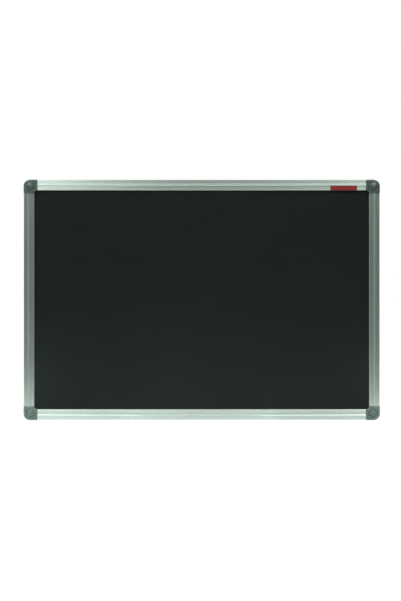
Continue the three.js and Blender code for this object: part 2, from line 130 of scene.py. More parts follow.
# Tongues and frame screws
RAIL_END = 34.3
SCREW_PLACE = 48.3
SCREW_REACH = 7.5
TONGUE_TIP = 62
TONGUE_TAPER = 1.2
TONGUE_TAPER_LENGTH = 4
TONGUE_SIDE_ROUND = 2
TONGUE_TIP_ROUND = 0.8
TONGUE_WALL = 1.8
TONGUE_FLOOR = 2
TONGUE_BOSS = 8
SCREW_LENGTH = 9.5
SCREW_HEAD_RADIUS = 2.5
SCREW_SHANK_RADIUS = 1.3
SCREW_HEAD_EDGE = 0.2
SCREW_HOLE_POINT = 1.6
SCREW_SIDES = 28
SCREW_POINT = 1.9
THREAD_PITCH = 1.1
THREAD_DEPTH = 0.28
THREAD_START = 0.35  # past the head's cone
THREAD_SHARPNESS = 4.5  # a ridge takes up 2 divided by this of the pitch
ROWS_PER_TURN = 9
THREAD_SMOOTH_ANGLE = 38
CROSS_MOUTH = (1.55, 0.36, -0.3)  # half length, half width and depth of one slot of the cross
CROSS_FOOT = (0.55, 0.22, 1.2)

# Badge plate, bare, on the top rail near its right end
BADGE_LEFT = 325.5
BADGE_RIGHT = 393
BADGE_NEAR = 14.9
BADGE_FAR = 26.6
BADGE_THICKNESS = 1.3
BADGE_CORNER = 1.6
BADGE_EDGE = 0.45
BADGE_BACK_EDGE = 0.1
BADGE_RIB_INSET = 4

PAST = 1  # how far a cutting body runs past the face it cuts
ROUND_SIDES = 96
MERGE_DISTANCE = 0.002
SMOOTH_ANGLE = 32


def arc(centre, radius, start, end, steps):
    """Points of an arc, with both of its ends."""
    turns = [start + (end - start) * i / steps for i in range(steps + 1)]
    return [(centre[0] + radius * math.cos(t), centre[1] + radius * math.sin(t)) for t in turns]


def eased(corners, closed=True, steps=4):
    """A line through corner points of x, y and radius, with each corner rounded to its radius."""
    line = []
    for i, (x, y, radius) in enumerate(corners):
        ends = not closed and i in (0, len(corners) - 1)
        if ends or not radius:
            line.append((x, y))
            continue
        here = Vector((x, y))
        back = (Vector(corners[i - 1][:2]) - here).normalized()
        on = (Vector(corners[(i + 1) % len(corners)][:2]) - here).normalized()
        half = back.angle(on) / 2
        centre = here + (back + on).normalized() * radius / math.sin(half)
        first = here + back * radius / math.tan(half) - centre
        last = here + on * radius / math.tan(half) - centre
        start = math.atan2(first.y, first.x)
        swing = (math.atan2(last.y, last.x) - start + math.pi) % math.tau - math.pi
        line.extend(arc(centre, radius, start, start + swing, steps))
    return line


def mesh_of(name, points, faces, edges=()):
    mesh = bpy.data.meshes.new(name)
    mesh.from_pydata([tuple(p) for p in points], list(edges), faces)
    mesh.validate()
    return mesh


def skinned(name, rings):
    """One closed body over a stack of rings, each with as many points as the others."""
    count = len(rings[0])
    points = [point for ring in rings for point in ring]
    last = len(points) - count
    faces = [tuple(reversed(range(count))), tuple(range(last, last + count))]
    for start in range(0, last, count):
        for i in range(count):
            beside = (i + 1) % count
            faces.append((start + i, start + beside, start + count + beside, start + count + i))
    return mesh_of(name, points, faces)


def round_body(name, points, sides):
    """One closed body over rows of points round an axis. The two points on the axis come first."""
    faces = []
    last = len(points) - sides
    for i in range(sides):
        beside = (i + 1) % sides
        faces.append((0, 2 + beside, 2 + i))
        for start in range(2, last, sides):
            faces.append((start + i, start + beside, start + sides + beside, start + sides + i))
        faces.append((last + i, last + beside, 1))
    return mesh_of(name, points, faces)


def turned(name, profile, sides=ROUND_SIDES):
    """A turned body about z, from radius and depth. Its profile starts and ends on the axis."""
    points = [(0, 0, profile[0][1]), (0, 0, profile[-1][1])]
    spins = [math.tau * i / sides for i in range(sides)]
    for radius, depth in profile[1:-1]:
        points.extend((radius * math.cos(t), radius * math.sin(t), depth) for t in spins)
    return round_body(name, points, sides)


def bore(name, radius, back, front):
    return turned(name, [(0, back), (radius, back), (radius, front), (0, front)])


def slab(name, outline, back, front):
    return skinned(name, [[(x, y, depth) for x, y in outline] for depth in (back, front)])


def block(name, low, high):
    corners = [(low[0], low[1]), (high[0], low[1]), (high[0], high[1]), (low[0], high[1])]
    return slab(name, corners, low[2], high[2])


def moved(mesh, x=0.0, y=0.0, turn=0.0):
    """The mesh turned about z and then moved. The mesh itself is changed."""
    mesh.transform(Matrix.Translation((x, y, 0)) @ Matrix.Rotation(turn, 4, "Z"))
    return mesh


def evaluated(obj):
    """The object's mesh with its modifiers applied. The object is removed."""
    graph = bpy.context.evaluated_depsgraph_get()
    mesh = bpy.data.meshes.new_from_object(obj.evaluated_get(graph), depsgraph=graph)
    bpy.data.objects.remove(obj)
    return mesh


def shown(name, mesh):
    obj = bpy.data.objects.new(name, mesh)
    bpy.context.scene.collection.objects.link(obj)
    return obj


def combined(body, tools, operation):
    """The body with the tools joined to it, UNION, or cut from it, DIFFERENCE."""
    held = shown("held", body)
    tray = bpy.data.collections.new("tray")
    bpy.context.scene.collection.children.link(tray)
    parts = []
    for tool in tools:
        part = bpy.data.objects.new("tool", tool)
        tray.objects.link(part)
        parts.append(part)
    modifier = held.modifiers.new("combined", "BOOLEAN")
    modifier.operand_type = "COLLECTION"
    modifier.collection = tray
    modifier.operation = operation
    modifier.solver = "EXACT"
    result = evaluated(held)
    for part in parts:
        bpy.data.objects.remove(part)
    bpy.data.collections.remove(tray)
    return result


def smoothed(mesh, angle=SMOOTH_ANGLE):
    """Shades the mesh smooth, with sharp edges past the angle and flat faces kept flat."""
    work = bmesh.new()
    work.from_mesh(mesh)
    bmesh.ops.remove_doubles(work, verts=work.verts, dist=MERGE_DISTANCE)
    bmesh.ops.dissolve_degenerate(work, edges=work.edges, dist=MERGE_DISTANCE / 2)
    work.to_mesh(mesh)
    work.free()
    mesh.shade_smooth()
    mesh.set_sharp_from_angle(angle=math.radians(angle))
    holder = shown("smoothed", mesh)
    weighted = holder.modifiers.new("weighted", "WEIGHTED_NORMAL")
    weighted.mode = "FACE_AREA"
    weighted.weight = 60
    weighted.keep_sharp = True
    return evaluated(holder)


def add(tree, kind, inputs=None, **settings):
    """Adds a node. Its inputs are filled with values or with other nodes' sockets."""
    node = tree.nodes.new(kind)
    for name, value in settings.items():
        setattr(node, name, value)
    for name, value in (inputs or {}).items():
        if isinstance(value, bpy.types.NodeSocket):
            tree.links.new(value, node.inputs[name])
        else:
            node.inputs[name].default_value = value
    return node


def math_node(tree, operation, *values):
    return add(tree, "ShaderNodeMath", dict(enumerate(values)), operation=operation).outputs[0]


def joined(tree, *parts):
    node = tree.nodes.new("GeometryNodeJoinGeometry")
    for part in parts:
        tree.links.new(part, node.inputs[0])
    return node.outputs[0]


def ended(tree, geometry, material, result):
    """Ends a geometry tree: real geometry with its material set."""
    real = add(tree, "GeometryNodeRealizeInstances", {"Geometry": geometry}).outputs[0]
    done = add(tree, "GeometryNodeSetMaterial", {"Geometry": real, "Material": material}).outputs[0]
    tree.links.new(done, result)


def new_group(name, kind, inputs, outputs):
    """A node group with named inputs and outputs, and its two end nodes."""
    tree = bpy.data.node_groups.new(name, kind)
    for label, socket_type, value in inputs:
        socket = tree.interface.new_socket(label, in_out="INPUT", socket_type=socket_type)
        if value is not None:
            socket.default_value = value
    for label, socket_type in outputs:
        tree.interface.new_socket(label, in_out="OUTPUT", socket_type=socket_type)
    return tree, tree.nodes.new("NodeGroupInput"), tree.nodes.new("NodeGroupOutput")


# Effects that several finishes use

def make_grain():
    """Fine even grain, from pits a few sizes apart. Height and Tone run from 0 to 1."""
    inputs = [
        ("Vector", "NodeSocketVector", None),
        ("Scale", "NodeSocketFloat", 1000.0),
        ("Roughness", "NodeSocketFloat", 0.5),
    ]
    outputs = [("Height", "NodeSocketFloat"), ("Tone", "NodeSocketFloat")]
    tree, start, end = new_group("grain", "ShaderNodeTree", inputs, outputs)
    place, scale, roughness = (start.outputs[label] for label in ("Vector", "Scale", "Roughness"))
    fine = add(tree, "ShaderNodeTexNoise", {
        "Vector": place, "Scale": scale, "Detail": 3.0, "Roughness": roughness,
    })
    pits = add(tree, "ShaderNodeTexVoronoi", {
        "Vector": place, "Scale": scale, "Smoothness": 0.6,
    }, feature="SMOOTH_F1")
    height = math_node(tree, "MULTIPLY_ADD", pits.outputs["Distance"], 0.6, fine.outputs[0])
    coarse = math_node(tree, "MULTIPLY", scale, 0.21)
    blots = add(tree, "ShaderNodeTexNoise", {"Vector": place, "Scale": coarse, "Detail": 2.0})
    tree.links.new(height, end.inputs["Height"])
    tree.links.new(blots.outputs[0], end.inputs["Tone"])
    return tree


def make_drawn_lines():
    """Lines that run along a drawn or extruded piece. The vector is stretched before it comes in."""
    inputs = [("Vector", "NodeSocketVector", None), ("Spacing", "NodeSocketFloat", 0.0002)]
    outputs = [("Height", "NodeSocketFloat"), ("Tone", "NodeSocketFloat")]
    tree, start, end = new_group("drawn_lines", "ShaderNodeTree", inputs, outputs)
    place = start.outputs["Vector"]
    scale = math_node(tree, "DIVIDE", 1.0, start.outputs["Spacing"])
    fine = add(tree, "ShaderNodeTexNoise", {"Vector": place, "Scale": scale, "Detail": 2.0})
    coarse = math_node(tree, "MULTIPLY", scale, 0.17)
    wide = add(tree, "ShaderNodeTexNoise", {"Vector": place, "Scale": coarse, "Detail": 1.0})
    height = math_node(tree, "MULTIPLY_ADD", wide.outputs[0], 0.5, fine.outputs[0])
    tree.links.new(height, end.inputs["Height"])
    tree.links.new(wide.outputs[0], end.inputs["Tone"])
    return tree


def make_clouds():
    """Slow change over the whole piece, from 0 to 1 about a middle of 0.5."""
    inputs = [
        ("Vector", "NodeSocketVector", None),
        ("Scale", "NodeSocketFloat", 4.0),
        ("Contrast", "NodeSocketFloat", 1.0),
    ]
    tree, start, end = new_group("clouds", "ShaderNodeTree", inputs, [("Value", "NodeSocketFloat")])
    noise = add(tree, "ShaderNodeTexNoise", {
        "Vector": start.outputs["Vector"], "Scale": start.outputs["Scale"], "Detail": 4.0,
    })
    centred = math_node(tree, "SUBTRACT", noise.outputs[0], 0.5)
    value = math_node(tree, "MULTIPLY_ADD", centred, start.outputs["Contrast"], 0.5)
    clipped = add(tree, "ShaderNodeClamp", {"Value": value})
    tree.links.new(clipped.outputs[0], end.inputs["Value"])
    return tree


GRAIN = make_grain()
DRAWN_LINES = make_drawn_lines()
CLOUDS = make_clouds()


def new_material(name, **values):
    """A material with its Principled shader's plain values set."""
    material = bpy.data.materials.new(name)
    material.use_nodes = True
    tree = material.node_tree
    shader = tree.nodes["Principled BSDF"]
    for label, value in values.items():
        shader.inputs[label.replace("_", " ")].default_value = value
    place = add(tree, "ShaderNodeTexCoord").outputs["Object"]
    return material, tree, shader, place


def grouped(tree, group, inputs):
    return add(tree, "ShaderNodeGroup", inputs, node_tree=group)


def tinted(tree, shader, factor, dark, light):
    """Base colour between two tints. A Mix node has its colours at inputs 6 and 7 and at output 2."""
    mix = add(tree, "ShaderNodeMix", {0: factor, 6: (*dark, 1), 7: (*light, 1)}, data_type="RGBA")
    tree.links.new(mix.outputs[2], shader.inputs["Base Color"])


def spread(tree, value, low, high):
    """A value from 0 to 1, taken to the range from low to high and kept in it."""
    return add(tree, "ShaderNodeMapRange", {"Value": value, "To Min": low, "To Max": high}).outputs[0]


def bumped(tree, shader, height, distance):
    """Bump from a height of 0 to 1, with its distance in metres."""
    bump = add(tree, "ShaderNodeBump", {"Height": height, "Distance": distance, "Strength": 1.0})
    tree.links.new(bump.outputs[0], shader.inputs["Normal"])


def anodised(name, along):
    """Satin anodised aluminium with its extrusion lines along one axis."""
    material, tree, shader, place = new_material(name, Metallic=1.0, Anisotropic=0.8)
    stretch = [0.00005 if i == along else 1.0 for i in range(3)]
    drawn = add(tree, "ShaderNodeMapping", {"Vector": place, "Scale": stretch}).outputs[0]
    lines = grouped(tree, DRAWN_LINES, {"Vector": drawn, "Spacing": 0.00022})
    clouds = grouped(tree, CLOUDS, {"Vector": place, "Scale": 9.0, "Contrast": 1.4})
    grain = grouped(tree, GRAIN, {"Vector": place, "Scale": 9000.0})
    tone = math_node(tree, "MULTIPLY_ADD", lines.outputs["Tone"], 0.6, clouds.outputs["Value"])
    tinted(tree, shader, spread(tree, tone, -0.2, 1.0), (0.553, 0.65, 0.592), (0.59, 0.69, 0.628))
    tree.links.new(spread(tree, lines.outputs["Tone"], 0.40, 0.45), shader.inputs["Roughness"])
    height = math_node(tree, "MULTIPLY_ADD", grain.outputs["Height"], 0.25, lines.outputs["Height"])
    bumped(tree, shader, height, 0.0000025)
    axis = [1.0 if i == along else 0.0 for i in range(3)]
    normal = add(tree, "ShaderNodeNewGeometry").outputs["Normal"]
    across = add(tree, "ShaderNodeVectorMath", {0: normal, 1: axis}, operation="CROSS_PRODUCT")
    tree.links.new(across.outputs[0], shader.inputs["Tangent"])
    return material


def moulded_plastic(name, dark, light):
    """Satin grey plastic with the fine texture of a spark-eroded mould."""
    material, tree, shader, place = new_material(name, Specular_IOR_Level=0.45)
    grain = grouped(tree, GRAIN, {"Vector": place, "Scale": 3200.0, "Roughness": 0.6})
    clouds = grouped(tree, CLOUDS, {"Vector": place, "Scale": 60.0, "Contrast": 1.6})
    tone = math_node(tree, "MULTIPLY_ADD", grain.outputs["Tone"], 0.5, clouds.outputs["Value"])
    tinted(tree, shader, spread(tree, tone, -0.25, 1.0), dark, light)
    tree.links.new(spread(tree, grain.outputs["Tone"], 0.34, 0.46), shader.inputs["Roughness"])
    bumped(tree, shader, grain.outputs["Height"], 0.000025)
    return material


def chalk_lacquer():
    """Matte black lacquer with a fine tooth for chalk, and the faint marks of wiping."""
    material, tree, shader, place = new_material("chalk_lacquer", Specular_IOR_Level=0.12)
    grain = grouped(tree, GRAIN, {"Vector": place, "Scale": 2600.0, "Roughness": 0.65})
    clouds = grouped(tree, CLOUDS, {"Vector": place, "Scale": 3.5, "Contrast": 2.0})
    wiped = add(tree, "ShaderNodeMapping", {"Vector": place, "Scale": (0.12, 1.0, 1.0)}).outputs[0]
    marks = grouped(tree, CLOUDS, {"Vector": wiped, "Scale": 45.0, "Contrast": 1.5})
    tone = math_node(tree, "MULTIPLY_ADD", marks.outputs["Value"], 0.35, clouds.outputs["Value"])
    tone = math_node(tree, "MULTIPLY_ADD", grain.outputs["Tone"], 0.25, tone)
    tinted(tree, shader, spread(tree, tone, -0.3, 0.9), (0.0056, 0.0086, 0.0083), (0.0090, 0.0132, 0.0127))
    tree.links.new(spread(tree, tone, 0.6, 0.78), shader.inputs["Roughness"])
    bumped(tree, shader, grain.outputs["Height"], 0.00004)
    return material


def galvanised_sheet():
    """Zinc with a faint spangle of crystals that differ in tone and gloss."""
    material, tree, shader, place = new_material("galvanised_sheet", Metallic=1.0)
    warp = add(tree, "ShaderNodeTexNoise", {"Vector": place, "Scale": 90.0, "Detail": 2.0}).outputs[1]
    bent = add(tree, "ShaderNodeMix", {0: 0.006, 4: place, 5: warp}, data_type="VECTOR")
    crystals = add(tree, "ShaderNodeTexVoronoi", {"Vector": bent.outputs[1], "Scale": 85.0})
    apart = add(tree, "ShaderNodeSeparateColor", {0: crystals.outputs["Color"]})
    grain = grouped(tree, GRAIN, {"Vector": place, "Scale": 2600.0})
    clouds = grouped(tree, CLOUDS, {"Vector": place, "Scale": 5.0, "Contrast": 1.5})
    tone = math_node(tree, "MULTIPLY_ADD", apart.outputs[0], 0.5, clouds.outputs["Value"])
    tinted(tree, shader, spread(tree, tone, -0.25, 1.0), (0.40, 0.43, 0.445), (0.56, 0.59, 0.60))
    tree.links.new(spread(tree, apart.outputs[1], 0.42, 0.6), shader.inputs["Roughness"])
    height = math_node(tree, "MULTIPLY_ADD", crystals.outputs["Distance"], 2.0, grain.outputs["Height"])
    bumped(tree, shader, height, 0.00001)
    return material


def fibreboard():
    """Raw pressed fibre, with long pale and dark fibres."""
    material, tree, shader, place = new_material("fibreboard", Specular_IOR_Level=0.2)
    laid = add(tree, "ShaderNodeMapping", {"Vector": place, "Scale": (1.0, 5.0, 1.0)}).outputs[0]
    fibres = grouped(tree, CLOUDS, {"Vector": laid, "Scale": 700.0, "Contrast": 2.5})
    grain = grouped(tree, GRAIN, {"Vector": place, "Scale": 1800.0, "Roughness": 0.7})
    tone = math_node(tree, "MULTIPLY_ADD", grain.outputs["Tone"], 0.5, fibres.outputs["Value"])
    tinted(tree, shader, spread(tree, tone, -0.3, 1.0), (0.27, 0.17, 0.085), (0.47, 0.34, 0.2))
    tree.links.new(spread(tree, fibres.outputs["Value"], 0.75, 0.92), shader.inputs["Roughness"])
    bumped(tree, shader, grain.outputs["Height"], 0.00012)
    return material


def zinc_plate():
    """Bright zinc plating on the frame screws."""
    material, tree, shader, place = new_material("zinc_plate", Metallic=1.0)
    grain = grouped(tree, GRAIN, {"Vector": place, "Scale": 5000.0})
    clouds = grouped(tree, CLOUDS, {"Vector": place, "Scale": 500.0, "Contrast": 1.6})
    tone = math_node(tree, "MULTIPLY_ADD", grain.outputs["Tone"], 0.5, clouds.outputs["Value"])
    tinted(tree, shader, spread(tree, tone, -0.25, 1.0), (0.5, 0.51, 0.54), (0.72, 0.72, 0.7))
    tree.links.new(spread(tree, clouds.outputs["Value"], 0.22, 0.4), shader.inputs["Roughness"])
    bumped(tree, shader, grain.outputs["Height"], 0.000006)
    return material


def red_plate():
    """Gloss red plastic of the bare badge plate."""
    material, tree, shader, place = new_material("red_plate", Coat_Weight=0.15, Coat_Roughness=0.12)
    grain = grouped(tree, GRAIN, {"Vector": place, "Scale": 2400.0})
    clouds = grouped(tree, CLOUDS, {"Vector": place, "Scale": 45.0, "Contrast": 1.5})
    tone = math_node(tree, "MULTIPLY_ADD", grain.outputs["Tone"], 0.4, clouds.outputs["Value"])
    tinted(tree, shader, spread(tree, tone, -0.2, 1.0), (0.262, 0.026, 0.019), (0.35, 0.040, 0.030))
    tree.links.new(spread(tree, clouds.outputs["Value"], 0.3, 0.4), shader.inputs["Roughness"])
    bumped(tree, shader, grain.outputs["Height"], 0.000006)
    return material


across_metal = anodised("anodised_lines_across", 0)
upright_metal = anodised("anodised_lines_upright", 2)
corner_grey = moulded_plastic("corner_grey", (0.069, 0.105, 0.093), (0.098, 0.1435, 0.128))
cap_grey = moulded_plastic("cap_grey", (0.0655, 0.101, 0.089), (0.093, 0.1375, 0.122))
chalk_black = chalk_lacquer()
zinc_sheet = galvanised_sheet()
raw_fibre = fibreboard()
screw_zinc = zinc_plate()
badge_red = red_plate()


def finished(name, mesh, material, body, slot, *nodes):
    """A finished piece in the frame, in place of the CAD nodes that it stands for."""
    mesh.name = name
    mesh.materials.clear()
    mesh.materials.append(material)
    obj = shown(name, mesh)
    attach(obj, body)
    if nodes:
        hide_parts(*nodes)
    return obj


def side_matrix(turn):
    """Places a drawing of the top side on one of the four sides, clockwise from the top."""
    return STAND @ Matrix.Rotation(-QUARTER_TURN * turn, 4, "Z")


# Rails: one section, swept to length by a node tree, with a countersunk hole at each end

def rail_section():
    """Outline of the rail and of its hollow chamber, with reach along x and depth along y."""
    half = (BEAD_END - BEAD_START) / 2
    rise = BEAD_CREST - BAND_DEPTH
    radius = (half * half + rise * rise) / (2 * rise)
    centre = (BEAD_START + half, BEAD_CREST - radius)
    lean = math.asin((BAND_DEPTH - centre[1]) / radius)
    bead = [(x, y, 0) for x, y in arc(centre, radius, lean, math.pi - lean, BEAD_STEPS)]
    bead[0] = (*bead[0][:2], BEAD_FOOT_ROUND)
    outline = [
        (0, 0, BACK_ROUND),
        (CHAMBER_REACH, 0, SMALL_ROUND),
        (CHAMBER_REACH, FLANGE_DEPTH, NOOK_ROUND),
        (FLANGE_REACH, FLANGE_DEPTH, FLANGE_ROUND),
        (FLANGE_REACH, FLANGE_DEPTH + RAIL_WALL, FLANGE_ROUND),
        (CHAMBER_REACH, FLANGE_DEPTH + RAIL_WALL, NOOK_ROUND),
        (CHAMBER_REACH, CHANNEL_FRONT, NOOK_ROUND),
        (FACE_REACH, CHANNEL_FRONT, SMALL_ROUND),
        (FACE_REACH, LIP_DEPTH, LIP_ROUND),
        (GROOVE_END + GROOVE_SLOPE, LIP_DEPTH, NOOK_ROUND),
        (GROOVE_END, GROOVE_DEPTH, GROOVE_ROUND),
        (BEAD_END, GROOVE_DEPTH, GROOVE_ROUND),
        *bead,
        (0, BAND_DEPTH, RAIL_EDGE_ROUND),
    ]
    inner = RAIL_WALL
    front = BAND_DEPTH - RAIL_WALL
    floor = CHAMBER_REACH - RAIL_WALL
    fall = math.asin((centre[1] - front) / (radius - RAIL_WALL))
    arch = arc(centre, radius - RAIL_WALL, -fall, math.pi + fall, BEAD_STEPS // 2)
    chamber = [
        (inner, inner, SMALL_ROUND),
        (floor, inner, SMALL_ROUND),
        (floor, front, 0),
        *((x, y, 0) for x, y in arch),
        (inner, front, SMALL_ROUND),
    ]
    loops = [eased(outline), eased(chamber)]
    points = [(x, y, 0) for loop in loops for x, y in loop]
    edges = []
    first = 0
    for loop in loops:
        count = len(loop)
        edges.extend((first + i, first + (i + 1) % count) for i in range(count))
        first += count
    return mesh_of("rail_section", points, [], edges)


def make_rail_tree():
    """Sweeps a section to a length, and cuts a countersunk hole near each end."""
    inputs = [
        ("Section", "NodeSocketGeometry", None),
        ("Length", "NodeSocketFloat", 100.0),
        ("Hole Inset", "NodeSocketFloat", 14.0),
        ("Hole Reach", "NodeSocketFloat", 7.5),
        ("Head Radius", "NodeSocketFloat", 2.8),
        ("Shank Radius", "NodeSocketFloat", 1.6),
        ("Wall", "NodeSocketFloat", 1.4),
        ("Finish", "NodeSocketMaterial", None),
    ]
    outputs = [("Rail", "NodeSocketGeometry")]
    tree, start, end = new_group("swept_rail", "GeometryNodeTree", inputs, outputs)
    given = start.outputs
    loops = add(tree, "GeometryNodeMeshToCurve", {"Mesh": given["Section"]}).outputs[0]
    sheet = add(tree, "GeometryNodeFillCurve", {"Curve": loops}).outputs[0]
    length = add(tree, "GeometryNodeExtrudeMesh", {"Mesh": sheet, "Offset Scale": given["Length"]})
    length.inputs["Individual"].default_value = False
    back = add(tree, "GeometryNodeFlipFaces", {"Mesh": sheet}).outputs[0]
    whole = joined(tree, length.outputs["Mesh"], back)
    closed = add(tree, "GeometryNodeMergeByDistance", {"Geometry": whole, "Distance": 0.001})

    # The hole's slope runs on past both faces of the wall.
    margin = 0.5
    slope = math_node(tree, "SUBTRACT", given["Head Radius"], given["Shank Radius"])
    slope = math_node(tree, "DIVIDE", slope, given["Wall"])
    wide = math_node(tree, "MULTIPLY_ADD", slope, margin, given["Head Radius"])
    narrow = math_node(tree, "MULTIPLY_ADD", slope, -margin, given["Shank Radius"])
    depth = math_node(tree, "ADD", given["Wall"], 2 * margin)
    cone = add(tree, "GeometryNodeMeshCone", {
        "Vertices": RAIL_HOLE_SIDES, "Radius Top": narrow, "Radius Bottom": wide, "Depth": depth,
    }).outputs[0]
    far = math_node(tree, "SUBTRACT", given["Length"], given["Hole Inset"])
    holes = []
    for along in (given["Hole Inset"], far):
        place = add(tree, "ShaderNodeCombineXYZ", {0: given["Hole Reach"], 1: -margin, 2: along}).outputs[0]
        hole = add(tree, "GeometryNodeTransform", {
            "Geometry": cone, "Translation": place, "Rotation": (-QUARTER_TURN, 0.0, 0.0),
        })
        holes.append(hole.outputs[0])
    drilled = add(tree, "GeometryNodeMeshBoolean", {
        "Mesh 1": closed.outputs[0], "Mesh 2": joined(tree, *holes),
    }, operation="DIFFERENCE", solver="EXACT")
    ended(tree, drilled.outputs[0], given["Finish"], end.inputs["Rail"])
    return tree


def run_tree(name, mesh, tree, values):
    """The mesh that a node tree makes from another one, with its inputs set by identifier."""
    holder = shown(name, mesh)
    modifier = holder.modifiers.new(name, "NODES")
    modifier.node_group = tree
    for item in tree.interface.items_tree:
        if item.item_type == "SOCKET" and item.in_out == "INPUT" and item.name in values:
            modifier[item.identifier] = values[item.name]
    return evaluated(holder)


def make_rails():
    section = rail_section()
    tree = make_rail_tree()
    sides = [
        ("rail_top", "top_rail", BOARD_WIDTH, BOARD_HEIGHT, across_metal),
        ("rail_right", "right_rail", BOARD_HEIGHT, BOARD_WIDTH, upright_metal),
        ("rail_bottom", "bottom_rail", BOARD_WIDTH, BOARD_HEIGHT, across_metal),
        ("rail_left", "left_rail", BOARD_HEIGHT, BOARD_WIDTH, upright_metal),
    ]
    # From reach, depth and length to x, y and z of the top side
    lying = Matrix(((0, 0, -1, 0), (-1, 0, 0, 0), (0, 1, 0, 0), (0, 0, 0, 1)))
    for turn, (node, name, along, across, metal) in enumerate(sides):
        length = along - 2 * RAIL_END
        mesh = run_tree(name, section, tree, {
            "Length": float(length),
            "Hole Inset": float(SCREW_PLACE - RAIL_END),
            "Hole Reach": float(SCREW_REACH),
            "Head Radius": SCREW_HEAD_RADIUS + FIT_GAP,
            "Shank Radius": SCREW_SHANK_RADIUS + FIT_GAP,
            "Wall": float(RAIL_WALL),
            "Finish": metal,
        })
        mesh.transform(Matrix.Translation((length / 2, across / 2, 0)) @ lying)
        mesh = smoothed(mesh)
        mesh.transform(side_matrix(turn))
        finished(name, mesh, metal, "board", "aluminium", node)


# Corner mouldings

def corner_ring(inset, depth_at):
    """Outline of the top left moulding, moved in by inset, at the depth that each point's fall gives."""
    left = inset - CORNER_PROUD
    end = CORNER_LEG - END_SHARE * inset
    inner = CORNER_INNER - inset
    radius = CORNER_RADIUS - inset
    end_radius = max(CORNER_END_RADIUS - inset, 0.01)
    fillet_centre = CORNER_INNER + CORNER_FILLET
    fillet_radius = CORNER_FILLET + inset
    past = math.asin(max(0, fillet_centre - end) / fillet_radius)
    inner_at_end = fillet_centre - fillet_radius * math.cos(past) if past > 0 else inner
    end_steps = 8
    fillet_steps = 24
    outer_steps = 32
    turn = QUARTER_TURN
    falls = [OUTER_FALL + (END_FALL - OUTER_FALL) * i / end_steps for i in range(end_steps + 1)]
    down = arc((left + end_radius, end_radius - end), end_radius, math.pi, math.pi + turn, end_steps)
    fillet_middle = (fillet_centre, -fillet_centre)
    fillet = arc(fillet_middle, fillet_radius, math.pi - past, turn + past, fillet_steps)
    over = arc((end - end_radius, -left - end_radius), end_radius, 0, turn, end_steps)
    outer = arc((left + radius, -left - radius), radius, turn, math.pi, outer_steps)
    line = list(zip(down, falls))
    line.append(((inner_at_end, -end), END_FALL))
    line.extend((point, FILLET_FALL) for point in fillet)
    line.append(((end, -inner_at_end), END_FALL))
    line.extend(zip(over, reversed(falls)))
    line.extend((point, OUTER_FALL) for point in outer)
    return [(x, y, depth_at(fall)) for (x, y), fall in line]


def corner_outside():
    """Straight sides, then a front edge rounded as a quarter of an ellipse."""
    rings = [corner_ring(0, lambda fall: 0)]
    for i in range(EDGE_STEPS + 1):
        angle = QUARTER_TURN * i / EDGE_STEPS
        drop = 1 - math.sin(angle)
        inset = EDGE_WIDTH * (1 - math.cos(angle))
        rings.append(corner_ring(inset, lambda fall: CORNER_FRONT - fall * drop))
    return skinned("corner_outside", rings)


def both_legs(make):
    """The same body on both legs of the moulding, which are alike about the diagonal."""
    return [make(), moved(make(), x=CHAMBER_REACH, turn=-QUARTER_TURN)]


def tongue():
    near = RAIL_WALL + FIT_GAP
    far = CHAMBER_REACH - RAIL_WALL - FIT_GAP
    root = CORNER_LEG - CORNER_WALL
    taper = TONGUE_TIP - TONGUE_TAPER_LENGTH
    outline = [
        (root, -far, 0),
        (taper, -far, TONGUE_SIDE_ROUND),
        (TONGUE_TIP, TONGUE_TAPER - far, TONGUE_TIP_ROUND),
        (TONGUE_TIP, -near - TONGUE_TAPER, TONGUE_TIP_ROUND),
        (taper, -near, TONGUE_SIDE_ROUND),
        (root, -near, 0),
    ]
    front = BAND_DEPTH - RAIL_WALL - FIT_GAP
    return slab("tongue", eased(outline), near, front)


def frame_hole():
    """Space for a frame screw, with the gap all round it."""
    head = SCREW_HEAD_RADIUS + FIT_GAP
    shank = SCREW_SHANK_RADIUS + FIT_GAP
    end = SCREW_LENGTH + FIT_GAP
    profile = [(0, -PAST), (head, -PAST), (head, SCREW_HEAD_EDGE), (shank, SCREW_HEAD_EDGE + head - shank)]
    profile.extend([(shank, end - SCREW_HOLE_POINT), (0, end)])
    return moved(turned("frame_hole", profile, 32), x=SCREW_PLACE, y=-SCREW_REACH)


